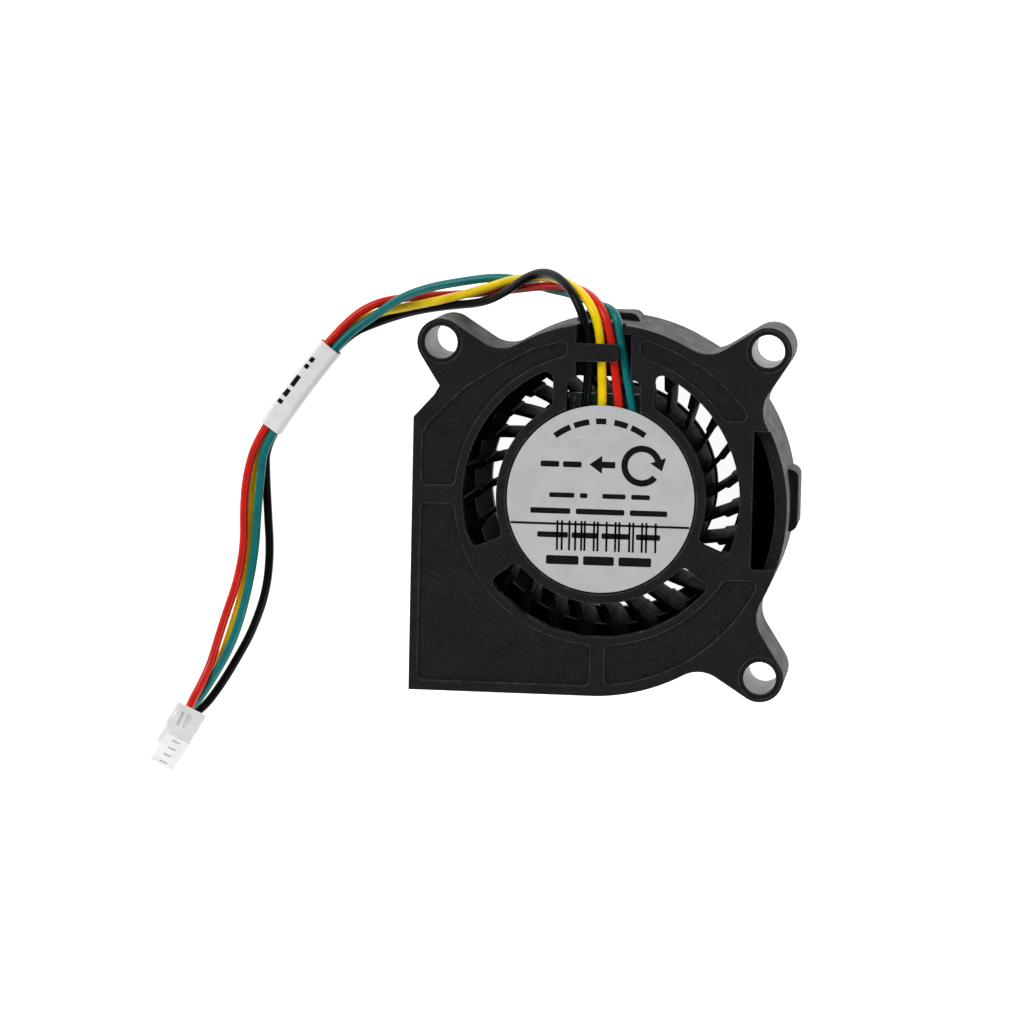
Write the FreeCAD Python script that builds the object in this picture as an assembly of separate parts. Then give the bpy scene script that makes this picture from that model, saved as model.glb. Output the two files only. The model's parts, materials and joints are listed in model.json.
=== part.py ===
"""A 40 mm centrifugal blower with a brushless motor, four wires and a plug.

Frame: +Z is the rotor axis and points out of the labelled face, the origin is where the axis
meets the back face, +Y points to the side that the wires leave by, and the outlet faces -X.
All sizes are in millimetres.
"""
import FreeCAD, Part
import math
import os

V = FreeCAD.Vector

# ---- driving dimensions -------------------------------------------------------------------
HEIGHT = 20.0            # back face to labelled face
PARTING_Z = 9.0          # where the back cover meets the front housing
PLATE = 1.6              # front plate
FLOOR = 1.4              # back plate
WALL = 1.3               # side walls

HOLE_SPACING = 35.0      # between the mounting holes, along X and along Y
AXIS_ABOVE_CENTRE = 1.2  # the rotor axis sits this far above the middle of the hole square
HOLE_R = 1.75
EAR_R = 2.55
EAR_FLARE = 12.5         # each side of an ear leans out by this angle, degrees
TROUGH_R = 3.4           # fillets between the ears and the casing
SPOT_R = 2.25            # shallow spot face round a hole
SPOT_DEPTH = 0.3

OUTLET_X = -20.3         # plane of the outlet
BOTTOM_Y = -21.25        # flat bottom wall
SCROLL_R = 18.8          # outer radius where the scroll starts
SCROLL_GROWTH = 2.75     # how much the scroll has grown at its end
SCROLL_EASE = 0.3        # and how much that growth tails off
SCROLL_FROM = 60.0       # the scroll grows from this angle, degrees
SCROLL_TO = -90.0        # down to this one

WINDOW_IN_R = 11.25      # the three air inlets in the front plate
WINDOW_OUT_R = 14.9
BACK_INLET_R = 13.9
POCKET_R = 15.75         # inner edge of the shallow pockets in the front plate
POCKET_DEPTH = 0.3
LABEL_R = 10.05
LABEL_SEAT_R = 10.3
LABEL_SEAT = 0.2

ROTOR_R = 16.4           # blade tips
HUB_R = 11.2
FOOT_R = 11.4            # low ledge round the foot of the hub
BLADES = 27
BLADE_LEAN = 30.0        # degrees back from radial
BLADE_START = 0.9
BLADE_T = 0.72
ARM_T = 0.42
NOSE_R = 0.4             # round inner end of a blade
BLADE_STEP_R = 13.5      # inside this radius a blade is a thinner and lower arm
ROTOR_Z0 = 2.2
BLADE_Z0 = 4.0
ROTOR_Z1 = 16.6
ARM_Z1 = 14.5

WIRE_D = 0.96
SOLDER_R = 0.6
SLEEVE_W = 2.84          # the marker sleeve, flattened on the surface it lies on
SLEEVE_H = 2.44
SLEEVE_CORNER = 0.65
SLEEVE_WALL = 0.2
SLEEVE_TRIM = 1.95       # the sleeve stops this far short of its route's end points

PLUG_PITCH = 1.5         # between the ways of the plug
PLUG_L = 4.5             # rear face to mating face
PLUG_W = 6.15            # along the row of ways
PLUG_T = 3.5             # across the row, at the rear collar
PLUG_NOSE_T = 2.75       # and at the mating face
PLUG_FIRST_WAY = 0.8     # from its lower end
PLUG_WAY_Y = -0.3        # the ways sit off the middle of its thickness
PLUG_AT = (-49.29, -30.28, 1.15)
PLUG_ROLL = -14.9        # degrees about its own length
PLUG_TILT = 47.0         # mating face looks up by this angle
PLUG_HEADING = 253.9     # degrees about Z
CONTACT_AT = 0.6         # where a wire meets its contact, from the rear face
TURN = 360.0

# ---- motor, from the back to the label ----------------------------------------------------
SHAFT_R = 1.0
SHAFT_Z1 = 19.35
CLIP_GROOVE_Z = 18.75
BOSS_R = 2.4
BOSS_Z1 = 5.2
YOKE_R = 9.9
YOKE_Z0 = 3.2
YOKE_Z1 = 16.4
HUB_Z1 = 16.8
MAGNET_R0 = 7.9
MAGNET_R1 = 9.2
TUBE_R = 3.0
TUBE_Z1 = 19.0
COLLAR_R = 3.9
BEARING_R = 2.5
BEARING_W = 2.5
BALL_R = 0.4
BALL_PITCH_R = 1.75
BALLS = 7
BACK_BEARING_Z = 7.0
FRONT_BEARING_Z = 16.2
POLES = 4
POLE_START = 45.0
CORE_Z0 = 8.2
CORE_Z1 = 14.2
BOARD_Z = 17.4
GROOVE_Z = 17.5          # floor of the wires' groove
CLIP_Z = 19.15           # underside of the clip over the wires
STRAP_Z0 = 4.6           # snap straps on the back cover
STRAP_Z1 = 11.0

HOLE_X = HOLE_SPACING / 2
HOLE_TOP_Y = HOLE_SPACING / 2 - AXIS_ABOVE_CENTRE
HOLE_LOW_Y = HOLE_TOP_Y - HOLE_SPACING
PLATE_Z = HEIGHT - PLATE
EARS = [(-HOLE_X, HOLE_TOP_Y, 135.0), (HOLE_X, HOLE_TOP_Y, 45.0), (HOLE_X, HOLE_LOW_Y, -45.0)]

NODES = {}


# ---- helpers ------------------------------------------------------------------------------
def polar(radius, degrees, z=0.0):
    a = math.radians(degrees)
    return V(radius * math.cos(a), radius * math.sin(a), z)


def ring(z0, z1, outer, inner=0.0, x=0.0, y=0.0):
    """A disc or a ring about a vertical axis."""
    disc = Part.makeCylinder(outer, z1 - z0, V(x, y, z0))
    if inner > 0:
        disc = disc.cut(Part.makeCylinder(inner, z1 - z0 + 2, V(x, y, z0 - 1)))
    return disc


def block(x0, x1, y0, y1, z0, z1):
    return Part.makeBox(x1 - x0, y1 - y0, z1 - z0, V(x0, y0, z0))


def prism(edges, z0, z1):
    """Extrudes a closed loop of edges, drawn at height 0, from z0 to z1."""
    face = Part.Face(Part.Wire(edges))
    face.translate(V(0, 0, z0))
    return face.extrude(V(0, 0, z1 - z0))


def chain(points):
    """Straight edges through a list of points."""
    return [Part.LineSegment(a, b).toShape() for a, b in zip(points, points[1:])]


def polygon(points, z0, z1):
    corners = [V(x, y, 0) for x, y in points]
    return prism(chain(corners + corners[:1]), z0, z1)


def round_upright(solid, radius, wanted):
    """Rounds the upright edges whose middle satisfies wanted(x, y)."""
    chosen = []
    for edge in solid.Edges:
        a, b = edge.Vertexes[0].Point, edge.Vertexes[-1].Point
        if abs(a.x - b.x) < 1e-6 and abs(a.y - b.y) < 1e-6 and wanted(a.x, a.y):
            chosen.append(edge)
    return solid.makeFillet(radius, chosen) if chosen else solid


def fuse(solids):
    body = solids[0].fuse(solids[1:]) if len(solids) > 1 else solids[0]
    return body.removeSplitter()


def add(name, shape):
    NODES[name] = shape


# ---- casing -------------------------------------------------------------------------------
def scroll_radius(degrees):
    """Outer radius of the casing at an angle, growing clockwise as seen from the label."""
    t = max(0.0, (SCROLL_FROM - degrees) / (SCROLL_FROM - SCROLL_TO))
    return SCROLL_R + SCROLL_GROWTH * t - SCROLL_EASE * t * t


def scroll_edges(inset, last):
    """Arcs from the bottom of the scroll, anticlockwise to the angle `last`."""
    steps = 5
    span = (SCROLL_FROM - SCROLL_TO) / steps
    edges = []
    for i in range(steps):
        a = SCROLL_TO + i * span
        stops = [polar(scroll_radius(d) - inset, d) for d in (a, a + span / 2, a + span)]
        edges.append(Part.Arc(*stops).toShape())
    ends = [polar(SCROLL_R - inset, d) for d in (SCROLL_FROM, (SCROLL_FROM + last) / 2, last)]
    edges.append(Part.Arc(*ends).toShape())
    return edges


def casing_solid(z0, z1):
    """The body of the casing without its ears: scroll, flat bottom and outlet side."""
    last = 121.0
    start = polar(SCROLL_R, last)
    corner = V(OUTLET_X, BOTTOM_Y, 0)
    outline = scroll_edges(0, last)
    outline += chain([start, V(-17.6, 11.6, 0), V(-18.1, 10.7, 0), V(OUTLET_X, 8.25, 0), corner])
    outline += chain([corner, polar(-BOTTOM_Y, -90)])
    return prism(outline, z0, z1)


def duct_solid(z0, z1):
    """The air space inside the casing, running out through the outlet."""
    tongue = 156.5
    tip = polar(SCROLL_R - WALL, tongue)
    far = OUTLET_X - 2
    low = BOTTOM_Y + WALL
    outline = scroll_edges(WALL, tongue)
    outline += chain([tip, V(far, tip.y, 0), V(far, low, 0), V(0, low, 0)])
    return round_upright(prism(outline, z0, z1), 0.6, lambda x, y: abs(x - tip.x) < 0.01)


def ear_solid(x, y, degrees, z0, z1):
    """A lug round a mounting hole, widening towards the casing."""
    base = 10.0
    left, right = degrees + 90 - EAR_FLARE, degrees - 90 + EAR_FLARE
    hole = V(x, y, 0)
    a, b = hole + polar(EAR_R, left), hole + polar(EAR_R, right)
    tip = hole + polar(EAR_R, degrees)
    c, d = b + polar(base, right - 90), a + polar(base, left + 90)
    return prism([Part.Arc(a, tip, b).toShape()] + chain([b, c, d, a]), z0, z1)


def annular_sector(inner, outer, z0, z1, first, last):
    """Part of a ring between two angles."""
    middle = (first + last) / 2
    out = Part.Arc(*[polar(outer, d) for d in (first, middle, last)]).toShape()
    back = Part.Arc(*[polar(inner, d) for d in (last, middle, first)]).toShape()
    ends = chain([polar(outer, last), polar(inner, last)])
    start = chain([polar(inner, first), polar(outer, first)])
    return prism([out] + ends + [back] + start, z0, z1)


def windows(z0, z1):
    """The three air inlets round the motor."""
    upper_left = annular_sector(WINDOW_IN_R, WINDOW_OUT_R, z0, z1, 95, 202.5)
    upper_left = upper_left.cut(block(-5.35, 5, 5, 20, z0 - 1, z1 + 1))
    upper_right = annular_sector(WINDOW_IN_R, WINDOW_OUT_R, z0, z1, -22.5, 85)
    upper_right = upper_right.cut(block(-5, 5.5, 5, 20, z0 - 1, z1 + 1))
    lower = annular_sector(WINDOW_IN_R, WINDOW_OUT_R, z0, z1, 218, 322.7)
    return [round_upright(w, 0.8, lambda x, y: True) for w in (upper_left, upper_right, lower)]


def pockets(z0, z1):
    """Shallow recesses that leave raised ribs on the front plate."""
    disc = ring(z0 - 1, z1 + 1, POCKET_R)
    crescent = polygon([(-3.9, 12), (-3.9, 16.95), (-7.6, 15.9), (-10.9, 14.1), (-14.9, 11.5),
                        (-18.7, 7.7), (-19.35, 6.4), (-19.35, 0.95), (-12, 0.95)], z0, z1)
    corner = polygon([(-19.4, -1.0), (-10, -1.0), (-10, -10), (-0.75, -10), (-0.75, -20.2),
                      (-19.4, -20.2)], z0, z1)
    rim = 1.15
    outline = scroll_edges(rim, 80)
    outline += chain([polar(SCROLL_R - rim, 80), V(0, 0, 0), polar(-BOTTOM_Y - rim, -90)])
    sector = prism(outline, z0, z1)
    lower_right = sector.common(block(0.8, 25, -25, -8.25, z0, z1))
    upper_right = sector.common(block(3.85, 25, 8.7, 25, z0, z1))
    cut = [p.cut(disc) for p in (crescent, corner, lower_right, upper_right)]
    return [round_upright(p, 0.7, lambda x, y: True) for p in cut]


def front_housing():
    outer = fuse([casing_solid(PARTING_Z, HEIGHT)]
                 + [ear_solid(x, y, d, PARTING_Z, HEIGHT) for x, y, d in EARS])

    def in_trough(x, y):
        near_ear = any(5.0 < math.hypot(x - ex, y - ey) < 9.5 for ex, ey, _ in EARS)
        return near_ear and math.hypot(x, y) > 18.0 and x > -17.9
    outer = round_upright(outer, TROUGH_R, in_trough)
    shell = outer.cut(duct_solid(PARTING_Z - 1, PLATE_Z))
    shell = shell.cut([ring(PARTING_Z - 1, HEIGHT + 1, HOLE_R, 0, x, y) for x, y, _ in EARS])
    shell = shell.cut([ring(HEIGHT - SPOT_DEPTH, HEIGHT + 1, SPOT_R, 0, x, y) for x, y, _ in EARS])
    shell = shell.cut(windows(PLATE_Z - 1, HEIGHT + 1))
    shell = shell.cut(pockets(HEIGHT - POCKET_DEPTH, HEIGHT + 1))
    shell = shell.cut(block(16.2, 22, -7.05, 7.75, HEIGHT - 1.7, HEIGHT + 1))
    return add_wire_channel(add_motor_seat(shell))


def add_motor_seat(shell):
    """The label's seat, the hole for the bearing tube and the collar that grips it."""
    collar = ring(15.2, PLATE_Z, COLLAR_R)
    shell = fuse([shell, collar])
    shell = shell.cut(ring(HEIGHT - LABEL_SEAT, HEIGHT + 1, LABEL_SEAT_R))
    return shell.cut(ring(10, HEIGHT + 1, TUBE_R))


def add_wire_channel(shell):
    """The opening over the board's tab, and the groove and clip that hold the wires."""
    opening = block(-3.9, 4.0, 7.6, 12.8, PLATE_Z - 1, HEIGHT + 1)
    opening = round_upright(opening, 0.8, lambda x, y: y > 12)
    groove = fuse([block(-3.0, 2.93, 12.0, 17.7, GROOVE_Z, HEIGHT + 1),
                   block(-3.0, 2.2, 17.0, 20.0, GROOVE_Z, HEIGHT + 1)])
    under = block(-4.2, 4.1, 13.0, 17.6, GROOVE_Z - 0.7, PLATE_Z)
    clip = block(-3.4, 1.55, 14.7, 16.6, CLIP_Z, HEIGHT)
    clip = round_upright(clip, 0.4, lambda x, y: x > 0)
    nubs = snap_nubs()
    return fuse([fuse([shell, under]).cut([opening, groove]), clip] + nubs)


def back_cover():
    outer = casing_solid(0, PARTING_Z)
    rim = [e for e in outer.Edges if max(v.Z for v in e.Vertexes) < 1e-6]
    shell = outer.makeFillet(0.5, rim).cut(duct_solid(FLOOR, PARTING_Z + 1))
    shell = shell.cut(ring(-1, FLOOR + 1, BACK_INLET_R))
    return fuse([shell] + snap_straps())


def snap_places():
    """Each snap as the box of its strap: x0, x1, y0, y1."""
    return [(18.0, 20.65, -3.8, 3.0), (-3.8, 3.0, 17.0, 19.45), (-12.0, -5.2, -22.0, -20.5)]


def faces_out(x, y, place):
    """Whether a corner of a snap's box, measured from the box's middle, is on its outer side."""
    x0, x1, y0, y1 = place
    return x * (x0 + x1) > 0 if y1 - y0 > x1 - x0 else y * (y0 + y1) > 0


def shrunk(place, by):
    """A snap's box, narrowed along the wall that it lies on."""
    x0, x1, y0, y1 = place
    if y1 - y0 > x1 - x0:
        return x0, x1, y0 + by, y1 - by
    return x0 + by, x1 - by, y0, y1


def snap_straps():
    """Tongues on the back cover, each with a slot."""
    core = casing_solid(-1, HEIGHT + 1)
    straps = []
    for place in snap_places():
        x0, x1, y0, y1 = place
        middle = (x0 + x1) / 2, (y0 + y1) / 2
        strap = block(*place, STRAP_Z0, STRAP_Z1)
        strap = round_upright(strap, 1.0, lambda x, y: faces_out(x - middle[0], y - middle[1], place))
        strap = strap.cut(core)
        straps.append(strap.cut(block(*shrunk(place, 1.9), PARTING_Z + 0.2, STRAP_Z1 - 0.9)))
    return straps


def snap_nubs():
    """Wedges on the front housing that the slots catch on."""
    inside = duct_solid(-1, HEIGHT + 1)
    nubs = []
    for place in snap_places():
        x0, x1, y0, y1 = shrunk(place, 2.1)
        nub = block(x0, min(x1, 20.4), max(y0, -21.7), min(y1, 19.3), PARTING_Z + 0.3, STRAP_Z1 - 1.1)
        nubs.append(nub.cut(inside))
    return nubs


# ---- rotor --------------------------------------------------------------------------------
def blade_sweep(radius):
    """How far round the blade has leant back at a radius, in degrees."""
    return math.degrees(math.log(radius / HUB_R) * math.tan(math.radians(BLADE_LEAN)))


def vane(r0, r1, thickness, z1):
    """A curved upright plate between two radii."""
    def beside(radius, side):
        angle = blade_sweep(radius)
        return polar(radius, angle) + polar(side * thickness / 2, angle + BLADE_LEAN + 90)
    stops = (r0, (r0 + r1) / 2, r1)
    left = [beside(r, 1) for r in stops]
    right = [beside(r, -1) for r in reversed(stops)]
    tip, root = chain([left[2], right[0]]), chain([right[2], left[0]])
    sides = [Part.Arc(*left).toShape()] + tip + [Part.Arc(*right).toShape()] + root
    return prism(sides, BLADE_Z0, z1)


def blade():
    """A thin arm from the hub, and a full-height blade with a round nose."""
    arm = vane(HUB_R - 0.3, BLADE_STEP_R + 0.2, ARM_T, ARM_Z1)
    tall = vane(BLADE_STEP_R, ROTOR_R - 0.1, BLADE_T, ROTOR_Z1)
    nose = polar(BLADE_STEP_R, blade_sweep(BLADE_STEP_R))
    return fuse([arm, tall, ring(BLADE_Z0, ROTOR_Z1 - 0.4, NOSE_R, 0, nose.x, nose.y)])


def impeller():
    hub = ring(ROTOR_Z0, HUB_Z1, HUB_R).cut(ring(YOKE_Z0, HUB_Z1 + 1, YOKE_R))
    hub = hub.cut(ring(ROTOR_Z0 - 1, YOKE_Z0 + 1, SHAFT_R))
    foot = ring(ROTOR_Z0, ROTOR_Z0 + 1.2, FOOT_R, HUB_R - 0.5)
    tie_ring = ring(7.9, 8.9, ROTOR_R, ROTOR_R - 1.5)
    blades = []
    pattern = blade()
    for i in range(BLADES):
        copy = pattern.copy()
        copy.rotate(V(0, 0, 0), V(0, 0, 1), BLADE_START + i * TURN / BLADES)
        blades.append(copy)
    wheel = fuse([hub, foot, tie_ring] + blades)
    return wheel.cut(ring(YOKE_Z0, HUB_Z1 + 1, YOKE_R))


def rotor_yoke():
    cup = ring(YOKE_Z0, YOKE_Z1, YOKE_R).cut(ring(YOKE_Z0 + 0.7, YOKE_Z1 + 1, MAGNET_R1))
    return cup.cut(ring(YOKE_Z0 - 1, YOKE_Z0 + 1, BOSS_R))


def shaft():
    rod = ring(2.6, SHAFT_Z1, SHAFT_R)
    groove = ring(CLIP_GROOVE_Z, CLIP_GROOVE_Z + 0.3, SHAFT_R + 1, SHAFT_R - 0.25)
    return rod.cut(groove)


def retaining_clip():
    clip = ring(CLIP_GROOVE_Z, CLIP_GROOVE_Z + 0.3, 1.9, SHAFT_R - 0.25)
    return clip.cut(block(0, 3, -0.6, 0.6, CLIP_GROOVE_Z - 1, CLIP_GROOVE_Z + 1))


def preload_spring():
    """Two dished washers, one turned over, between the boss and the back bearing."""
    low, high = BOSS_Z1, BACK_BEARING_Z
    middle = (low + high) / 2
    washers = []
    for z, tip in ((low, middle), (high, middle)):
        thick = 0.25 if tip > z else -0.25
        section = [V(1.2, 0, z), V(2.0, 0, tip - thick), V(2.0, 0, tip), V(1.2, 0, z + thick)]
        face = Part.Face(Part.Wire(chain(section + section[:1])))
        washers.append(face.revolve(V(0, 0, 0), V(0, 0, 1), TURN))
    return Part.makeCompound(washers)


# ---- bearings and stator ------------------------------------------------------------------
def bearing(prefix, z0):
    """A small ball bearing as its two races and its balls."""
    z1, middle = z0 + BEARING_W, z0 + BEARING_W / 2
    groove = Part.makeTorus(BALL_PITCH_R, BALL_R + 0.04, V(0, 0, middle))
    add(prefix + "_outer_race", ring(z0, z1, BEARING_R, BALL_PITCH_R + 0.2).cut(groove))
    add(prefix + "_inner_race", ring(z0, z1, BALL_PITCH_R - 0.2, SHAFT_R).cut(groove))
    balls, posts = [], []
    for i in range(BALLS):
        balls.append(Part.makeSphere(BALL_R, polar(BALL_PITCH_R, i * TURN / BALLS, middle)))
        between = polar(BALL_PITCH_R, (i + 0.5) * TURN / BALLS)
        posts.append(ring(middle - 0.6, middle + 0.15, 0.12, 0, between.x, between.y))
    crown = ring(middle - 0.8, middle - 0.5, BALL_PITCH_R + 0.13, BALL_PITCH_R - 0.13)
    add(prefix + "_balls", Part.makeCompound(balls + [fuse([crown] + posts)]))


def bearing_tube():
    tube = ring(BACK_BEARING_Z - 0.3, TUBE_Z1, TUBE_R, 2.1)
    tube = tube.cut(ring(BACK_BEARING_Z - 1, BACK_BEARING_Z + BEARING_W, BEARING_R))
    return tube.cut(ring(FRONT_BEARING_Z, TUBE_Z1 + 1, BEARING_R))


def pole_outline(z0, z1, neck, hub, shoe_in, shoe_out, shoe_angle):
    """Ring, four necks and four shoes: the shape of one lamination or insulator."""
    pieces = [ring(z0, z1, hub)]
    for i in range(POLES):
        turn = POLE_START + i * TURN / POLES
        bar = block(0, shoe_in + 0.3, -neck / 2, neck / 2, z0, z1)
        bar.rotate(V(0, 0, 0), V(0, 0, 1), turn)
        pieces.append(bar)
        half = shoe_angle / 2
        pieces.append(annular_sector(shoe_in, shoe_out, z0, z1, turn - half, turn + half))
    return fuse(pieces).cut(ring(z0 - 1, z1 + 1, TUBE_R))


def insulator(z0, z1, flange_z):
    low, high = min(z1, flange_z), max(z1, flange_z)
    plate = pole_outline(z0, z1, 2.6, 4.6, 6.7, 7.3, 60)
    flanges = []
    for i in range(POLES):
        turn = POLE_START + i * TURN / POLES
        flanges.append(annular_sector(6.7, 7.3, low, high, turn - 30, turn + 30))
    return fuse([plate] + flanges)


def winding(turn):
    """One coil wound round a neck, with rounded corners."""
    def loop(grow):
        half = 1.45 + grow
        coil = block(4.7, 6.6, -half, half, CORE_Z0 - 0.9 - grow, CORE_Z1 + 0.9 + grow)
        along = [e for e in coil.Edges if abs(e.Vertexes[0].X - e.Vertexes[-1].X) > 1]
        return coil.makeFillet(0.25 + grow * 0.6, along)
    coil = loop(1.1).cut(loop(0)).common(ring(0, HEIGHT, 6.65, 4.65))
    coil.rotate(V(0, 0, 0), V(0, 0, 1), turn)
    return coil


def circuit_board():
    board = fuse([ring(BOARD_Z, PLATE_Z, 9.8), block(-3.7, 3.8, 6, 11.2, BOARD_Z, PLATE_Z)])
    return board.cut(ring(BOARD_Z - 1, PLATE_Z + 1, COLLAR_R + 0.1))


def chip(x, y, length, width, z0, z1):
    return block(x - length / 2, x + length / 2, y - width / 2, y + width / 2, z0, z1)


# ---- wires, marker sleeve and plug --------------------------------------------------------
# Each wire runs from its solder joint, along the groove, over the edge of the casing, down to
# the surface, through the sleeve and on to the plug.
ROUTES = {
    "black": [(-2.0, 8.9, 19.0), (-1.65, 13.0, 18.88), (-1.8, 17.4, 18.25), (-3.2, 21.1, 17.6),
              (-5.2, 23.2, 15.1), (-7.4, 23.8, 12.3), (-9.7, 22.9, 10.1), (-11.9, 21.2, 7.5),
              (-14.8, 19.7, 4.9), (-18.6, 19.2, 2.6), (-22.9, 18.4, 1.0), (-26.8, 17.1, 0.5),
              (-30.6, 15.4, 0.8), (-35.2, 9.4, 0.8), (-39.5, 3.0, 0.8), (-39.4, -0.95, 0.5),
              (-39.1, -5.0, 0.6), (-38.8, -9.3, 0.5), (-39.2, -13.8, 0.5), (-40.7, -18.2, 0.5),
              (-42.4, -21.4, 0.5), (-44.2, -24.5, 0.5), (-46.3, -27.35, 0.5)],
    "yellow": [(-0.1, 8.9, 19.0), (-0.2, 13.2, 18.88), (-0.6, 17.5, 18.25), (-1.3, 20.1, 18.2),
               (-3.2, 22.2, 16.0), (-6.0, 23.1, 12.7), (-8.7, 23.0, 9.3), (-11.7, 22.4, 7.1),
               (-14.9, 21.2, 5.2), (-18.7, 20.0, 3.3), (-22.9, 19.0, 1.9), (-27.7, 17.9, 0.8),
               (-31.4, 16.0, 0.8), (-36.0, 10.0, 0.8), (-40.3, 3.6, 0.8), (-41.0, -0.5, 0.5),
               (-41.2, -5.0, 0.6), (-41.3, -9.3, 0.5), (-41.8, -13.6, 0.5), (-43.0, -17.9, 0.5),
               (-44.2, -21.4, 0.5), (-45.5, -24.0, 0.7), (-47.0, -26.4, 1.4)],
    "red": [(1.8, 8.9, 19.0), (1.25, 13.2, 18.88), (0.55, 17.5, 18.25), (-0.3, 20.0, 17.9),
            (-2.2, 21.8, 15.5), (-5.0, 22.3, 12.4), (-8.0, 22.0, 9.6), (-11.2, 21.4, 6.8),
            (-14.6, 20.8, 4.1), (-18.6, 20.3, 2.2), (-23.0, 20.0, 1.5), (-27.8, 19.1, 2.1),
            (-31.4, 16.0, 1.8), (-36.0, 10.0, 1.8), (-40.3, 3.6, 1.8), (-41.4, -0.4, 1.9),
            (-41.7, -4.2, 1.6), (-41.6, -8.3, 1.5), (-42.3, -12.4, 1.4), (-43.6, -16.2, 1.1),
            (-44.5, -19.3, 1.4), (-45.1, -21.7, 1.8), (-45.9, -23.8, 2.6)],
    "teal": [(3.3, 8.9, 19.0), (2.45, 13.2, 18.88), (1.65, 17.1, 18.3), (0.95, 20.1, 17.75),
             (-1.4, 20.5, 14.7), (-4.5, 21.4, 11.2), (-7.6, 21.7, 8.4), (-10.4, 22.4, 6.3),
             (-13.4, 22.6, 5.2), (-17.1, 22.0, 4.4), (-20.9, 21.2, 3.8), (-24.1, 20.0, 3.2),
             (-27.3, 17.7, 2.2), (-30.6, 15.4, 1.8), (-35.2, 9.4, 1.8), (-39.5, 3.0, 1.8),
             (-39.8, -0.9, 2.0), (-40.2, -4.7, 1.4), (-40.4, -8.7, 1.2), (-41.0, -12.8, 1.3),
             (-42.0, -17.1, 1.4), (-43.2, -20.4, 1.5), (-44.9, -23.5, 1.7), (-46.4, -26.0, 2.3)],
}
SLEEVE_ROUTE = [(-31.0, 15.7, 1.3), (-35.6, 9.7, 1.3), (-39.9, 3.3, 1.3)]
# The way of the plug that each wire ends in, counted up from the surface, and how far it runs
# straight behind the plug.
WAYS = {"black": (0, 1.2), "yellow": (1, 1.0), "teal": (2, 0.9), "red": (3, 1.6)}


def plug_place(shape):
    """Moves a shape from the plug's own frame: X to the mating face, Z along its row of ways."""
    shape.rotate(V(0, 0, 0), V(1, 0, 0), PLUG_ROLL)
    shape.rotate(V(0, 0, 0), V(0, 1, 0), -PLUG_TILT)
    shape.rotate(V(0, 0, 0), V(0, 0, 1), PLUG_HEADING)
    shape.translate(V(*PLUG_AT))
    return shape


def plug_point(x, z):
    return plug_place(Part.Vertex(x, PLUG_WAY_Y, z)).Point


def wire_route(colour):
    way, straight = WAYS[colour]
    height = PLUG_FIRST_WAY + way * PLUG_PITCH
    return [V(*p) for p in ROUTES[colour]] + [plug_point(-straight, height),
                                              plug_point(CONTACT_AT, height)]


def rounded_path(route):
    """Straight runs joined by arcs as large as the runs allow. Returns edges and radii."""
    edges, radii, start = [], [], route[0]
    for a, corner, b in zip(route, route[1:], route[2:]):
        before, after = corner - a, b - corner
        cut = 0.45 * min(before.Length, after.Length)
        before.normalize()
        after.normalize()
        half_turn = before.getAngle(after) / 2
        radii.append(cut / math.tan(half_turn))
        first, last = corner - before * cut, corner + after * cut
        inward = (after - before).normalize()
        middle = corner + inward * (radii[-1] / math.cos(half_turn) - radii[-1])
        edges.append(Part.LineSegment(start, first).toShape())
        edges.append(Part.Arc(first, middle, last).toShape())
        start = last
    edges.append(Part.LineSegment(start, route[-1]).toShape())
    return edges, radii


def sweep(profile, edges):
    return Part.Wire(edges).makePipeShell([profile], True, False)


def wire(colour):
    """A round wire along its route, with its bends and its volume printed."""
    route = wire_route(colour)
    edges, radii = rounded_path(route)
    end = Part.makeCircle(WIRE_D / 2, route[0], route[1] - route[0])
    tube = sweep(Part.Wire(end), edges)
    length = sum(e.Length for e in edges)
    expected = math.pi * WIRE_D ** 2 / 4 * length
    print("wire_%s length %.1f, volume %.2f, section x length %.2f" % (
        colour, length, tube.Volume, expected))
    print("   radii", " ".join("%.1f" % r for r in radii))
    return tube


def rounded_profile(width, height, radius, at, along):
    """A rounded rectangle across the direction `along`, as a wire."""
    box = Part.makeBox(width, height, 1, V(-width / 2, -height / 2, 0))
    upright = [e for e in box.Edges if abs(e.Vertexes[0].Z - e.Vertexes[-1].Z) > 0.5]
    outline = box.makeFillet(radius, upright)
    floor = min(outline.Faces, key=lambda f: f.CenterOfMass.z).OuterWire
    level = V(along.y, -along.x, 0).normalize()
    turn = FreeCAD.Rotation(level, V(0, 0, 1), along, "ZXY")
    floor.Placement = FreeCAD.Placement(at, turn)
    return floor


def marker_sleeve():
    route = [V(*p) for p in SLEEVE_ROUTE]
    first, last = (route[1] - route[0]).normalize(), (route[2] - route[1]).normalize()
    route[0] += first * SLEEVE_TRIM
    route[2] -= last * SLEEVE_TRIM
    edges = rounded_path(route)[0]
    outer = sweep(rounded_profile(SLEEVE_W, SLEEVE_H, SLEEVE_CORNER, route[0], first), edges)
    bore_w, bore_h = SLEEVE_W - 2 * SLEEVE_WALL, SLEEVE_H - 2 * SLEEVE_WALL
    corner = SLEEVE_CORNER - SLEEVE_WALL
    return outer.cut(sweep(rounded_profile(bore_w, bore_h, corner, route[0], first), edges))


def way_heights():
    return [PLUG_FIRST_WAY + i * PLUG_PITCH for i in range(4)]


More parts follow.
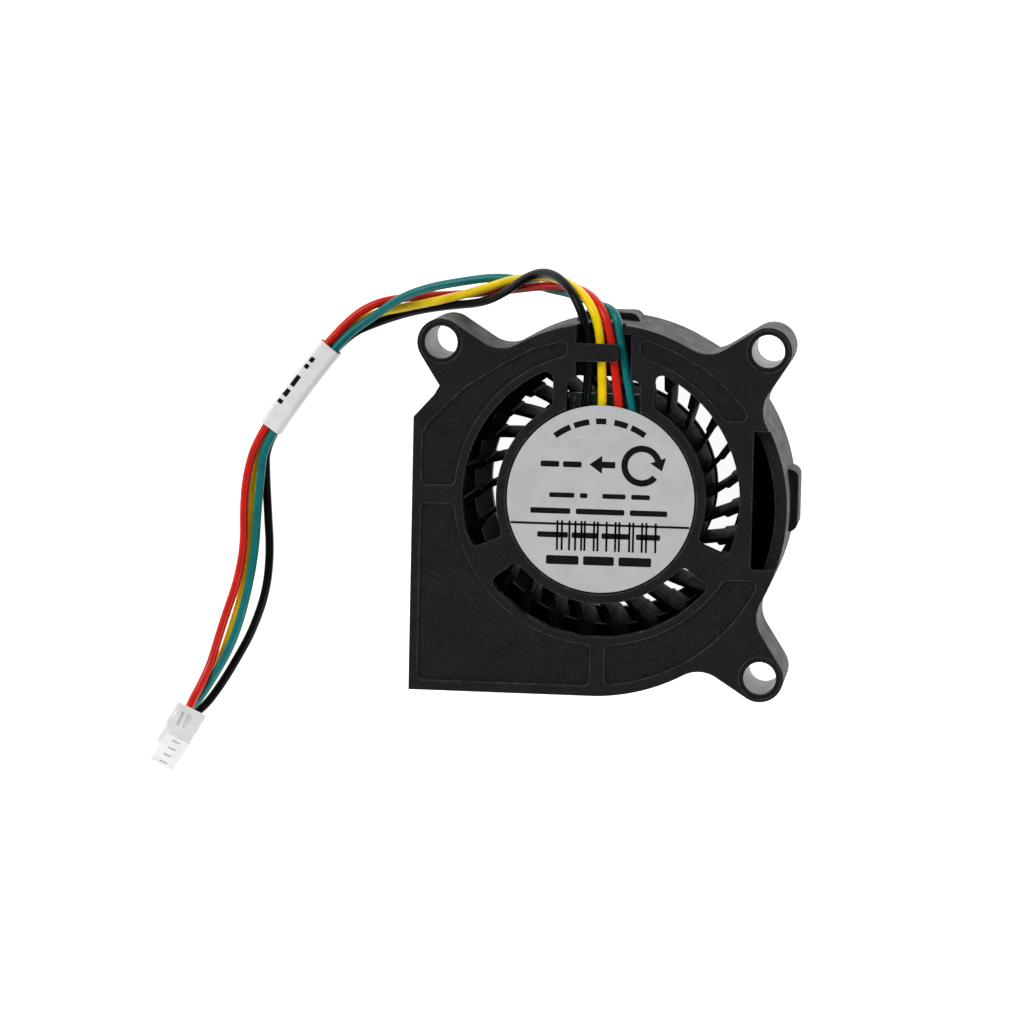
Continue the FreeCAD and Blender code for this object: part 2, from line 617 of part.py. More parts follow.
def connector_housing():
    """The plug: tapered body with a rear collar, a side latch, face grooves and four ways."""
    rear, nose = PLUG_T / 2 - 0.15, PLUG_NOSE_T / 2
    body = polygon([(0, -rear), (PLUG_L, -nose), (PLUG_L, nose), (3.2, nose), (2.4, rear),
                    (0, rear)], 0, PLUG_W)
    collar = block(0, 0.8, -PLUG_T / 2, PLUG_T / 2, 0, PLUG_W)
    latch = polygon([(1.2, 0.3 - rear), (3.0, -rear - 0.45), (3.6, -rear - 0.3),
                     (3.9, 0.4 - nose)], 2.6, PLUG_W)
    body = fuse([body, collar, latch])
    for y, width in ((-0.75, 0.3), (0.1, 0.6)):
        groove = block(1.0, 2.9, y - width / 2, y + width / 2, PLUG_W - 0.15, PLUG_W + 1)
        body = body.cut(groove)
    for z in way_heights():
        inside = block(CONTACT_AT, PLUG_L - 0.6, PLUG_WAY_Y - 0.5, PLUG_WAY_Y + 0.5, z - 0.5, z + 0.5)
        slit = block(PLUG_L - 1, PLUG_L + 1, PLUG_WAY_Y - 0.2, PLUG_WAY_Y + 0.7, z - 0.14, z + 0.14)
        hole = Part.makeCylinder(0.52, 2, V(-1, PLUG_WAY_Y, z), V(1, 0, 0))
        body = body.cut([inside, slit, hole])
    return plug_place(body)


def connector_contacts():
    """Crimp contacts: a small box spring in each way."""
    contacts = []
    for z in way_heights():
        left, right = PLUG_WAY_Y - 0.45, PLUG_WAY_Y + 0.45
        tube = block(CONTACT_AT, PLUG_L - 0.65, left, right, z - 0.45, z + 0.45)
        slot = block(CONTACT_AT + 0.4, PLUG_L, left + 0.2, right - 0.2, z - 0.25, z + 0.25)
        contacts.append(plug_place(tube.cut(slot)))
    return Part.makeCompound(contacts)


def solder_joints():
    """Domes on the board, each with the end of a wire set into it."""
    domes = []
    for colour, route in ROUTES.items():
        x, y, z = route[0]
        stem = ring(PLATE_Z, z, SOLDER_R, 0, x, y)
        dome = stem.fuse(Part.makeCone(SOLDER_R, 0.35, 0.6, V(x, y, z)))
        domes.append(dome.cut(NODES["wire_" + colour]))
    return Part.makeCompound(domes)


add("front_housing", front_housing())
add("back_cover", back_cover())

add("impeller", impeller())
add("rotor_yoke", rotor_yoke())
add("ring_magnet", ring(5.5, 16.3, MAGNET_R1, MAGNET_R0))
add("rotor_boss", ring(YOKE_Z0, BOSS_Z1, BOSS_R, SHAFT_R))
add("shaft", shaft())
add("retaining_clip", retaining_clip())
add("preload_spring", preload_spring())

bearing("front_bearing", FRONT_BEARING_Z)
bearing("back_bearing", BACK_BEARING_Z)
add("bearing_tube", bearing_tube())

add("stator_core", pole_outline(CORE_Z0, CORE_Z1, 2.2, 4.5, 6.8, 7.6, 68))
add("front_insulator", insulator(CORE_Z1, CORE_Z1 + 0.8, CORE_Z1 + 1.7))
add("back_insulator", insulator(CORE_Z0 - 0.8, CORE_Z0, CORE_Z0 - 1.7))
for number in range(POLES):
    add("winding_%d" % (number + 1), winding(POLE_START + number * TURN / POLES))
add("circuit_board", circuit_board())
add("driver_chip", chip(0, -7.2, 4.0, 3.0, BOARD_Z - 0.7, BOARD_Z))
add("board_capacitor", chip(7.2, 0.5, 1.6, 2.4, BOARD_Z - 0.8, BOARD_Z))
add("board_resistors", Part.makeCompound([chip(-3.15, y, 0.4, 0.7, PLATE_Z, PLATE_Z + 0.25)
                                          for y in (9.5, 10.6)]))
add("label", ring(HEIGHT - LABEL_SEAT, HEIGHT - 0.05, LABEL_R))

for colour in ROUTES:
    add("wire_" + colour, wire(colour))
add("solder_joints", solder_joints())
add("marker_sleeve", marker_sleeve())
add("connector_housing", connector_housing())
add("connector_contacts", connector_contacts())

os.makedirs("parts", exist_ok=True)
for node, shape in NODES.items():
    shape.exportStep("parts/" + node + ".step")
    print(node, "valid" if shape.isValid() else "INVALID", len(shape.Solids), round(shape.Volume, 2))
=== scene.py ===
"""Looks of the centrifugal blower: camera, wires, printed marks, materials, floor and light.

Everything is in metres in the row frame: +Z leaves the labelled face, +Y is the side that the
wires leave by, -X is the outlet, and the back of the casing lies on the floor at height 0.
"""
import json
import math

import bmesh
import bpy
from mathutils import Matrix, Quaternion, Vector


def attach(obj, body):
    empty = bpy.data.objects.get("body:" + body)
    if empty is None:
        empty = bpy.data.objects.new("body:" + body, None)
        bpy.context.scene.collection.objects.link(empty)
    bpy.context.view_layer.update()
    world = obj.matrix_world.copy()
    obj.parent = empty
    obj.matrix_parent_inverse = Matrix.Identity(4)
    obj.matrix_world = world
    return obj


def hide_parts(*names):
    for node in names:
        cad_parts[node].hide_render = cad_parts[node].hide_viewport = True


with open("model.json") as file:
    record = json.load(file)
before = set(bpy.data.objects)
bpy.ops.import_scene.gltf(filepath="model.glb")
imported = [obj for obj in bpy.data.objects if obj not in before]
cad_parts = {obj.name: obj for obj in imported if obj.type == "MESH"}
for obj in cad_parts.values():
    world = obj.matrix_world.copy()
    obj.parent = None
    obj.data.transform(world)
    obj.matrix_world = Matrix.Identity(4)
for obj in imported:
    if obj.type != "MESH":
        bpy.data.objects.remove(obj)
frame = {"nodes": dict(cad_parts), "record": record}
nodes = frame["nodes"]
scene = bpy.context.scene
scene.view_settings.view_transform = "Standard"
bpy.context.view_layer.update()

MM = 0.001
WIRE_D = 0.00096
HOLE_R = 0.00175
LABEL_TOP = 0.01995
INK_THICK = 0.000008
MOULDED_EDGE = 0.0002
TOOL_MARK = 0.00015
FLOOR_Z = -0.00002
FLOOR_HALF = 2.5

# ---- camera -------------------------------------------------------------------------------
camera_data = bpy.data.cameras.new("camera")
camera_data.lens = 162.5
camera_data.sensor_width = 36.0
camera_data.clip_start, camera_data.clip_end = 0.05, 20.0
camera = bpy.data.objects.new("camera", camera_data)
camera.location = (0.045211, 0.051335, 0.508946)
camera.rotation_mode = "QUATERNION"
turn = Vector((-0.10603, 0.11239, 0.02731))
camera.rotation_quaternion = Quaternion(turn.normalized(), turn.length)
scene.collection.objects.link(camera)
scene.camera = camera

# ---- wires --------------------------------------------------------------------------------
ROUTES = {
    "black": [
        (-0.002, 0.0089, 0.019), (-0.00165, 0.013, 0.01888), (-0.0018, 0.0174, 0.01825),
        (-0.0032, 0.0211, 0.0176), (-0.0052, 0.0232, 0.0151), (-0.0074, 0.0238, 0.0123),
        (-0.0097, 0.0229, 0.0101), (-0.0119, 0.0212, 0.0075), (-0.0148, 0.0197, 0.0049),
        (-0.0186, 0.0192, 0.0026), (-0.0229, 0.0184, 0.001), (-0.0268, 0.0171, 0.0005),
        (-0.0306, 0.0154, 0.0008), (-0.0352, 0.0094, 0.0008), (-0.0395, 0.003, 0.0008),
        (-0.0394, -0.00095, 0.0005), (-0.0391, -0.005, 0.0006), (-0.0388, -0.0093, 0.0005),
        (-0.0392, -0.0138, 0.0005), (-0.0407, -0.0182, 0.0005), (-0.0424, -0.0214, 0.0005),
        (-0.0442, -0.0245, 0.0005), (-0.0463, -0.02735, 0.0005), (-0.04897, -0.02887, 0.00085),
        (-0.04931, -0.03005, 0.00217),
    ],
    "yellow": [
        (-0.0001, 0.0089, 0.019), (-0.0002, 0.0132, 0.01888), (-0.0006, 0.0175, 0.01825),
        (-0.0013, 0.0201, 0.0182), (-0.0032, 0.0222, 0.016), (-0.006, 0.0231, 0.0127),
        (-0.0087, 0.023, 0.0093), (-0.0117, 0.0224, 0.0071), (-0.0149, 0.0212, 0.0052),
        (-0.0187, 0.02, 0.0033), (-0.0229, 0.019, 0.0019), (-0.0277, 0.0179, 0.0008),
        (-0.0314, 0.016, 0.0008), (-0.036, 0.01, 0.0008), (-0.0403, 0.0036, 0.0008),
        (-0.041, -0.0005, 0.0005), (-0.0412, -0.005, 0.0006), (-0.0413, -0.0093, 0.0005),
        (-0.0418, -0.0136, 0.0005), (-0.043, -0.0179, 0.0005), (-0.0442, -0.0214, 0.0005),
        (-0.0455, -0.024, 0.0007), (-0.047, -0.0264, 0.0014), (-0.04834, -0.02809, 0.00199),
        (-0.04865, -0.02914, 0.00316),
    ],
    "red": [
        (0.0018, 0.0089, 0.019), (0.00125, 0.0132, 0.01888), (0.00055, 0.0175, 0.01825),
        (-0.0003, 0.02, 0.0179), (-0.0022, 0.0218, 0.0155), (-0.005, 0.0223, 0.0124),
        (-0.008, 0.022, 0.0096), (-0.0112, 0.0214, 0.0068), (-0.0146, 0.0208, 0.0041),
        (-0.0186, 0.0203, 0.0022), (-0.023, 0.02, 0.0015), (-0.0278, 0.0191, 0.0021),
        (-0.0314, 0.016, 0.0018), (-0.036, 0.01, 0.0018), (-0.0403, 0.0036, 0.0018),
        (-0.0414, -0.0004, 0.0019), (-0.0417, -0.0042, 0.0016), (-0.0416, -0.0083, 0.0015),
        (-0.0423, -0.0124, 0.0014), (-0.0436, -0.0162, 0.0011), (-0.0445, -0.0193, 0.0014),
        (-0.0451, -0.0217, 0.0018), (-0.0459, -0.0238, 0.0026), (-0.0469, -0.02588, 0.00353),
        (-0.04732, -0.02732, 0.00513),
    ],
    "teal": [
        (0.0033, 0.0089, 0.019), (0.00245, 0.0132, 0.01888), (0.00165, 0.0171, 0.0183),
        (0.00095, 0.0201, 0.01775), (-0.0014, 0.0205, 0.0147), (-0.0045, 0.0214, 0.0112),
        (-0.0076, 0.0217, 0.0084), (-0.0104, 0.0224, 0.0063), (-0.0134, 0.0226, 0.0052),
        (-0.0171, 0.022, 0.0044), (-0.0209, 0.0212, 0.0038), (-0.0241, 0.02, 0.0032),
        (-0.0273, 0.0177, 0.0022), (-0.0306, 0.0154, 0.0018), (-0.0352, 0.0094, 0.0018),
        (-0.0395, 0.003, 0.0018), (-0.0398, -0.0009, 0.002), (-0.0402, -0.0047, 0.0014),
        (-0.0404, -0.0087, 0.0012), (-0.041, -0.0128, 0.0013), (-0.042, -0.0171, 0.0014),
        (-0.0432, -0.0204, 0.0015), (-0.0449, -0.0235, 0.0017), (-0.0464, -0.026, 0.0023),
        (-0.0477, -0.02725, 0.00305), (-0.04798, -0.02823, 0.00415),
    ],
}


def add_wire(colour):
    curve = bpy.data.curves.new("lead_" + colour, "CURVE")
    curve.dimensions = "3D"
    line = curve.splines.new("NURBS")
    route = ROUTES[colour]
    line.points.add(len(route) - 1)
    for point, place in zip(line.points, route):
        point.co = (*place, 1.0)
        point.radius = WIRE_D / 2
    line.order_u = 3
    line.use_endpoint_u = True
    curve.resolution_u = 16
    curve.bevel_depth = 1.0
    curve.bevel_resolution = 7
    curve.use_fill_caps = True
    wire = bpy.data.objects.new("lead_" + colour, curve)
    scene.collection.objects.link(wire)
    node = "wire_" + colour
    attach(wire, "housing")
    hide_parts(node)
    return wire


wires = {colour: add_wire(colour) for colour in ROUTES}


# ---- material helpers ---------------------------------------------------------------------
class Shade:
    """A material under construction. Lengths are in metres, in the row frame."""

    def __init__(self, name):
        self.material = bpy.data.materials.new(name)
        self.material.use_nodes = True
        self.tree = self.material.node_tree
        self.shader = self.tree.nodes["Principled BSDF"]
        self.place = self.add("ShaderNodeTexCoord").outputs["Object"]

    def add(self, kind, **settings):
        node = self.tree.nodes.new(kind)
        for key, value in settings.items():
            setattr(node, key, value)
        return node

    def link(self, source, target):
        self.tree.links.new(source, target)

    def put(self, name, value):
        """Sets a shader input to a constant, or links it."""
        socket = self.shader.inputs[name]
        if isinstance(value, bpy.types.NodeSocket):
            self.link(value, socket)
        else:
            socket.default_value = value

    def noise(self, size, detail=3.0, stretch=(1, 1, 1)):
        """Noise with features of about this size, from 0 to 1."""
        scaled = self.add("ShaderNodeMapping")
        scaled.inputs["Scale"].default_value = [s / size for s in stretch]
        self.link(self.place, scaled.inputs["Vector"])
        node = self.add("ShaderNodeTexNoise")
        node.inputs["Scale"].default_value = 1.0
        node.inputs["Detail"].default_value = detail
        self.link(scaled.outputs["Vector"], node.inputs["Vector"])
        return node.outputs["Fac"]

    def cells(self, size):
        """Distance to the nearest of many scattered points, in units of their spacing."""
        node = self.add("ShaderNodeTexVoronoi")
        node.inputs["Scale"].default_value = 1 / size
        self.link(self.place, node.inputs["Vector"])
        return node.outputs["Distance"]

    def band(self, value, low, high, to_low=0.0, to_high=1.0):
        node = self.add("ShaderNodeMapRange")
        node.interpolation_type = "SMOOTHSTEP"
        self.link(value, node.inputs["Value"])
        for name, number in (("From Min", low), ("From Max", high),
                             ("To Min", to_low), ("To Max", to_high)):
            node.inputs[name].default_value = number
        return node.outputs["Result"]

    def maths(self, operation, a, b):
        node = self.add("ShaderNodeMath", operation=operation)
        for socket, value in zip(node.inputs, (a, b)):
            if isinstance(value, bpy.types.NodeSocket):
                self.link(value, socket)
            else:
                socket.default_value = value
        return node.outputs["Value"]

    def blend(self, share, a, b):
        """Colour a where share is 0 and b where it is 1."""
        node = self.add("ShaderNodeMix", data_type="RGBA")
        self.link(share, node.inputs["Factor"])
        for socket, value in ((node.inputs[6], a), (node.inputs[7], b)):
            if isinstance(value, bpy.types.NodeSocket):
                self.link(value, socket)
            else:
                socket.default_value = (*value, 1.0)
        return node.outputs[2]

    def edges(self, radius):
        """Rounded normals along sharp edges, and a mask that is 1 on those edges."""
        bevel = self.add("ShaderNodeBevel", samples=6)
        bevel.inputs["Radius"].default_value = radius
        flat = self.add("ShaderNodeNewGeometry").outputs["Normal"]
        dot = self.add("ShaderNodeVectorMath", operation="DOT_PRODUCT")
        self.link(bevel.outputs["Normal"], dot.inputs[0])
        self.link(flat, dot.inputs[1])
        return bevel.outputs["Normal"], self.band(dot.outputs["Value"], 0.97, 0.75)

    def near_axes(self, axes, radius):
        """1 on and inside upright cylinders of one radius, and 0 outside them."""
        mask = 0.0
        for x, y in axes:
            offset = self.add("ShaderNodeVectorMath", operation="MULTIPLY_ADD")
            self.link(self.place, offset.inputs[0])
            offset.inputs[1].default_value = (1, 1, 0)
            offset.inputs[2].default_value = (-x, -y, 0)
            length = self.add("ShaderNodeVectorMath", operation="LENGTH")
            self.link(offset.outputs[0], length.inputs[0])
            near = self.band(length.outputs["Value"], radius * 1.04, radius * 1.01)
            mask = self.maths("MAXIMUM", near, mask)
        return mask

    def bump(self, height, depth, normal=None):
        node = self.add("ShaderNodeBump")
        node.inputs["Distance"].default_value = depth
        node.inputs["Strength"].default_value = 1.0
        self.link(height, node.inputs["Height"])
        if normal is not None:
            self.link(normal, node.inputs["Normal"])
        return node.outputs["Normal"]


def tint(colour, factor):
    return tuple(min(1.0, c * factor) for c in colour)


def moulded(name, colour, rough, grain=0.00014, depth=0.000008, painted_edge_highlight=4.5, specular=0.3,
            mottle=0.25, bores=()):
    """Moulded plastic: spark-eroded grain, faint mottling, a painted highlight along the edges and a
    few dust specks.

    The bores round the given axes are polished by the core pins that form them, so they are less
    rough; their colour is also painted lighter, as a painted reflection.
    """
    s = Shade(name)
    normal, edge_mask = s.edges(MOULDED_EDGE)
    cloud = s.band(s.noise(0.004), 0.35, 0.65)
    fine = s.noise(grain, 4.0)
    base = s.blend(cloud, tint(colour, 1 - mottle), tint(colour, 1 + mottle))
    base = s.blend(s.band(fine, 0.52, 0.66, 0.0, 0.7), base, tint(colour, 4.2))
    # Painted highlight: sharp edges are painted lighter, broken up by noise.
    broken_edge_highlight = s.maths("MULTIPLY", edge_mask, s.band(s.noise(0.0009), 0.38, 0.6, 0.35, 1.0))
    base = s.blend(broken_edge_highlight, base, tint(colour, painted_edge_highlight))
    dust = s.maths("MULTIPLY", s.band(s.cells(0.0011), 0.05, 0.03),
                   s.band(s.noise(0.003), 0.6, 0.66))
    base = s.blend(dust, base, tint(colour, 4.0))
    matt = s.band(s.noise(0.0015), 0.3, 0.7, rough - 0.07, rough + 0.07)
    if bores:
        polished_bore_sheen = s.near_axes(bores, HOLE_R)
        # Painted reflection: the bores are painted lighter than the rest of the casing, while their
        # lower roughness is the real polish.
        base = s.blend(polished_bore_sheen, base, tint(colour, 8.0))
        matt = s.maths("MULTIPLY", matt, s.band(polished_bore_sheen, 0.0, 1.0, 1.0, 0.6))
    s.put("Base Color", base)
    s.put("Roughness", matt)
    s.put("Specular IOR Level", specular)
    s.put("Normal", s.bump(fine, depth, normal))
    return s.material


def vinyl(name, colour, specular):
    """Extruded wire insulation: soft gloss, faint drawing marks and handling smudges."""
    s = Shade(name)
    smudge = s.band(s.noise(0.0022), 0.45, 0.7)
    base = s.blend(smudge, colour, tint(colour, 0.82))
    nick = s.maths("MULTIPLY", s.band(s.cells(0.0016), 0.05, 0.02),
                   s.band(s.noise(0.005), 0.55, 0.6))
    base = s.blend(nick, base, tint(colour, 0.55))
    s.put("Base Color", base)
    s.put("Roughness", s.band(s.noise(0.0012), 0.3, 0.7, 0.2, 0.3))
    s.put("Specular IOR Level", specular)
    s.put("Normal", s.bump(s.noise(0.0007, 2.0), 0.00001))
    return s.material


def milky(name, colour, rough, depth):
    """White nylon or vinyl that lets a little light in."""
    s = Shade(name)
    normal, edge_mask = s.edges(0.0001)
    base = s.blend(s.band(s.noise(0.0018), 0.35, 0.7), colour, tint(colour, 0.93))
    # Painted highlight: sharp edges are painted a little lighter.
    base = s.blend(s.maths("MULTIPLY", edge_mask, 0.5), base, tint(colour, 1.08))
    grime = s.maths("MULTIPLY", s.band(s.noise(0.0006), 0.66, 0.74),
                    s.band(s.noise(0.004), 0.5, 0.6, 0.0, 0.6))
    base = s.blend(grime, base, tint(colour, 0.75))
    s.put("Base Color", base)
    s.put("Roughness", s.band(s.noise(0.001), 0.3, 0.7, rough - 0.06, rough + 0.08))
    s.put("Subsurface Weight", 0.15)
    s.put("Subsurface Radius", (0.0006, 0.0006, 0.0006))
    s.put("Subsurface Scale", 1.0)
    s.put("Normal", s.bump(s.noise(0.0005, 3.0), depth, normal))
    return s.material


def metal(name, colour, rough, stretch):
    """Turned, ground or rolled metal, with fine marks drawn out along one direction."""
    s = Shade(name)
    normal, edge_mask = s.edges(0.00006)
    marks = s.noise(TOOL_MARK, 3.0, stretch)
    base = s.blend(s.band(s.noise(0.0012), 0.35, 0.7), colour, tint(colour, 0.8))
    # Painted highlight: sharp edges are painted lighter.
    base = s.blend(s.maths("MULTIPLY", edge_mask, 0.6), base, tint(colour, 1.35))
    s.put("Base Color", base)
    s.put("Metallic", 1.0)
    s.put("Roughness", s.band(marks, 0.3, 0.7, rough - 0.08, rough + 0.1))
    s.put("Normal", s.bump(marks, 0.000004, normal))
    return s.material


def sticker():
    """Silver-grey film with a faint pearly grain, small dents and handling marks."""
    s = Shade("label_film")
    base = s.blend(s.band(s.noise(0.0035), 0.3, 0.7), (0.50, 0.51, 0.525), (0.56, 0.565, 0.575))
    base = s.blend(s.band(s.noise(0.00016, 4.0), 0.5, 0.7, 0.0, 0.45), base, (0.44, 0.45, 0.47))
    streak = s.maths("MULTIPLY", s.band(s.noise(0.0009, 2.0, (0.12, 1, 1)), 0.68, 0.75),
                     s.band(s.noise(0.004), 0.5, 0.62, 0.0, 0.4))
    base = s.blend(streak, base, (0.68, 0.68, 0.68))
    s.put("Base Color", base)
    s.put("Metallic", 0.15)
    s.put("Roughness", s.band(s.noise(0.0012), 0.3, 0.7, 0.38, 0.5))
    s.put("Normal", s.bump(s.noise(0.0028, 2.0), 0.00002))
    return s.material


def solder_mask():
    """Green board with slightly raised, paler tracks under the lacquer."""
    s = Shade("solder_mask")
    grid = s.add("ShaderNodeTexBrick")
    grid.inputs["Scale"].default_value = 1 / 0.0021
    grid.inputs["Mortar Size"].default_value = 0.12
    s.link(s.place, grid.inputs["Vector"])
    tracks = grid.outputs["Fac"]
    base = s.blend(tracks, (0.004, 0.022, 0.012), (0.01, 0.05, 0.026))
    base = s.blend(s.band(s.noise(0.002), 0.4, 0.7, 0.0, 0.5), base, (0.003, 0.014, 0.008))
    s.put("Base Color", base)
    s.put("Roughness", s.band(s.noise(0.0008), 0.3, 0.7, 0.22, 0.36))
    s.put("Specular IOR Level", 0.35)
    s.put("Normal", s.bump(tracks, 0.00003))
    return s.material


def wound_copper():
    """Enamelled copper wire laid side by side."""
    s = Shade("wound_copper")
    turns = s.add("ShaderNodeTexWave", wave_type="RINGS", rings_direction="Z")
    turns.inputs["Scale"].default_value = 1 / 0.0011
    turns.inputs["Distortion"].default_value = 0.6
    s.link(s.place, turns.inputs["Vector"])
    ridges = turns.outputs["Fac"]
    # Painted shade: the colour darkens in the grooves between the turns and lightens on their
    # crowns.
    base = s.blend(ridges, (0.20, 0.06, 0.02), (0.62, 0.25, 0.09))
    base = s.blend(s.band(s.noise(0.0009), 0.4, 0.7, 0.0, 0.4), base, (0.4, 0.14, 0.05))
    s.put("Base Color", base)
    s.put("Metallic", 1.0)
    s.put("Roughness", s.band(s.noise(0.0006), 0.3, 0.7, 0.25, 0.4))
    s.put("Coat Weight", 0.5)
    s.put("Normal", s.bump(ridges, 0.00008))
    return s.material


def laminated(name, colour):
    """Stacked steel sheets, seen as fine level lines."""
    s = Shade(name)
    sheets = s.add("ShaderNodeTexWave", wave_type="BANDS", bands_direction="Z")
    sheets.inputs["Scale"].default_value = 1 / 0.0022
    sheets.inputs["Distortion"].default_value = 0.3
    s.link(s.place, sheets.inputs["Vector"])
    base = s.blend(sheets.outputs["Fac"], tint(colour, 0.5), tint(colour, 1.2))
    s.put("Base Color", base)
    s.put("Metallic", 1.0)
    s.put("Roughness", s.band(s.noise(0.0007), 0.3, 0.7, 0.4, 0.55))
    s.put("Normal", s.bump(sheets.outputs["Fac"], 0.00003))
    return s.material


# ---- materials on the CAD nodes -----------------------------------------------------------
BLACK = (0.0042, 0.0042, 0.0044)
steel = metal("bearing_steel", (0.56, 0.56, 0.57), 0.25, (1, 1, 6))
brass = metal("turned_brass", (0.66, 0.47, 0.18), 0.3, (1, 1, 8))
copper = wound_copper()
nylon = moulded("cream_nylon", (0.62, 0.57, 0.45), 0.5, painted_edge_highlight=1.2, mottle=0.1, specular=0.5)
holes = [mount["pos_m"][:2] for mount in frame["record"]["mounts"] if mount["kind"] == "bore"]
casing = moulded("casing_black", BLACK, 0.55, grain=0.0002, depth=0.00004, painted_edge_highlight=24.0,
                 specular=0.2, bores=holes)
# Darker than the casing's black: painted shade on the impeller, which sits inside the casing.
rotor_black = moulded("rotor_black", (0.0016, 0.0016, 0.0017), 0.6, grain=0.0002, depth=0.000003,
                      painted_edge_highlight=14.0, specular=0.04)
epoxy = moulded("chip_epoxy", (0.018, 0.018, 0.019), 0.6, grain=0.00006)
ceramic = moulded("grey_ceramic", (0.06, 0.057, 0.05), 0.4, painted_edge_highlight=1.2, mottle=0.1)

FINISH = {
    "front_housing": casing,
    "back_cover": casing,
    "impeller": rotor_black,
    "rotor_yoke": metal("plated_cup", (0.50, 0.50, 0.51), 0.35, (1, 1, 10)),
    "ring_magnet": moulded("bonded_ferrite", (0.035, 0.035, 0.037), 0.7, grain=0.0001,
                           depth=0.00001),
    "stator_core": laminated("silicon_steel", (0.32, 0.32, 0.33)),
    "circuit_board": solder_mask(),
    "driver_chip": epoxy,
    "board_capacitor": moulded("tan_ceramic", (0.42, 0.30, 0.18), 0.45, painted_edge_highlight=1.3),
    "board_resistors": ceramic,
    "solder_joints": metal("solder", (0.66, 0.66, 0.65), 0.22, (1, 1, 1)),
    "label": sticker(),
    "marker_sleeve": milky("sleeve_vinyl", (0.93, 0.93, 0.93), 0.5, 0.00001),
    "connector_housing": milky("natural_nylon", (0.80, 0.80, 0.795), 0.42, 0.000006),
    "connector_contacts": metal("tinned_contact", (0.62, 0.61, 0.57), 0.3, (6, 1, 1)),
}
for name in ("shaft", "retaining_clip", "preload_spring", "front_bearing_outer_race",
             "front_bearing_inner_race", "front_bearing_balls", "back_bearing_outer_race",
             "back_bearing_inner_race", "back_bearing_balls"):
    FINISH[name] = steel
for name in ("rotor_boss", "bearing_tube"):
    FINISH[name] = brass
for name in ("front_insulator", "back_insulator"):
    FINISH[name] = nylon
for name in ("winding_1", "winding_2", "winding_3", "winding_4"):
    FINISH[name] = copper

for name, material in FINISH.items():
    mesh = nodes[name].data
    mesh.materials.clear()
    mesh.materials.append(material)

WIRE_COLOURS = {
    "black": ((0.0015, 0.0015, 0.002), 0.12),
    "yellow": ((0.95, 0.66, 0.0), 0.25),
    "red": ((0.62, 0.012, 0.003), 0.25),
    "teal": ((0.0, 0.17, 0.17), 0.25),
}
for colour, wire in wires.items():
    wire.data.materials.append(vinyl("vinyl_" + colour, *WIRE_COLOURS[colour]))


# ---- printed marks ------------------------------------------------------------------------
def ink():
    s = Shade("black_ink")
    s.put("Base Color", s.blend(s.band(s.noise(0.0006), 0.4, 0.7), (0.002, 0.002, 0.002),
                                (0.005, 0.005, 0.005)))
    s.put("Roughness", s.band(s.noise(0.0004), 0.3, 0.7, 0.4, 0.55))
    s.put("Specular IOR Level", 0.15)
    return s.material


INK = ink()


def printed(name, outlines):
    """One object of thin raised ink shapes. Each outline is a closed list of points."""
    form = bmesh.new()
    for outline, lift in outlines:
        corners = [form.verts.new(p) for p in outline]
        face = form.faces.new(corners)
        face.normal_update()
        if face.normal.dot(lift) < 0:
            face.normal_flip()
        top = bmesh.ops.extrude_face_region(form, geom=[face])["geom"]
        for vertex in top:
            if isinstance(vertex, bmesh.types.BMVert):
                vertex.co += lift
    bmesh.ops.recalc_face_normals(form, faces=form.faces)
    mesh = bpy.data.meshes.new(name)
    form.to_mesh(mesh)
    form.free()
    mesh.materials.append(INK)
    piece = bpy.data.objects.new(name, mesh)
    scene.collection.objects.link(piece)
    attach(piece, "housing")
    return piece


def rounded_bar(x0, x1, y, height):
    """A bar with rounded corners, in millimetres."""
    r, steps = min(0.16, height / 2), 4
    corners = ((x1 - r, y + height / 2 - r, 0), (x0 + r, y + height / 2 - r, 90),
               (x0 + r, y - height / 2 + r, 180), (x1 - r, y - height / 2 + r, 270))
    points = []
    for cx, cy, start in corners:
        for i in range(steps + 1):
            a = math.radians(start + 90 * i / steps)
            points.append((cx + r * math.cos(a), cy + r * math.sin(a)))
    return points


def ring_sector(cx, cy, radius, width, first, last):
    """Part of a ring, in millimetres and degrees."""
    steps = max(6, int(abs(last - first) / 5))
    angles = [math.radians(first + (last - first) * i / steps) for i in range(steps + 1)]
    outer = [(cx + (radius + width / 2) * math.cos(a), cy + (radius + width / 2) * math.sin(a))
             for a in angles]
    inner = [(cx + (radius - width / 2) * math.cos(a), cy + (radius - width / 2) * math.sin(a))
             for a in reversed(angles)]
    return outer + inner


def arrow(x_tail, x_tip, y, width, head):
    """A straight arrow along X, in millimetres."""
    way = 1 if x_tip > x_tail else -1
    neck = x_tip - way * head
    half = width / 2
    return [(x_tail, y - half), (neck, y - half), (neck, y - head * 0.72), (x_tip, y),
            (neck, y + head * 0.72), (neck, y + half), (x_tail, y + half)]


def arrow_head(cx, cy, radius, degrees, size):
    """A head at the end of a clockwise arc."""
    a = math.radians(degrees)
    at = Vector((cx + radius * math.cos(a), cy + radius * math.sin(a)))
    along = Vector((math.sin(a), -math.cos(a)))
    out = Vector((math.cos(a), math.sin(a)))
    return [tuple(at + along * size * 1.15), tuple(at + out * size * 0.85),
            tuple(at - out * size * 0.85)]


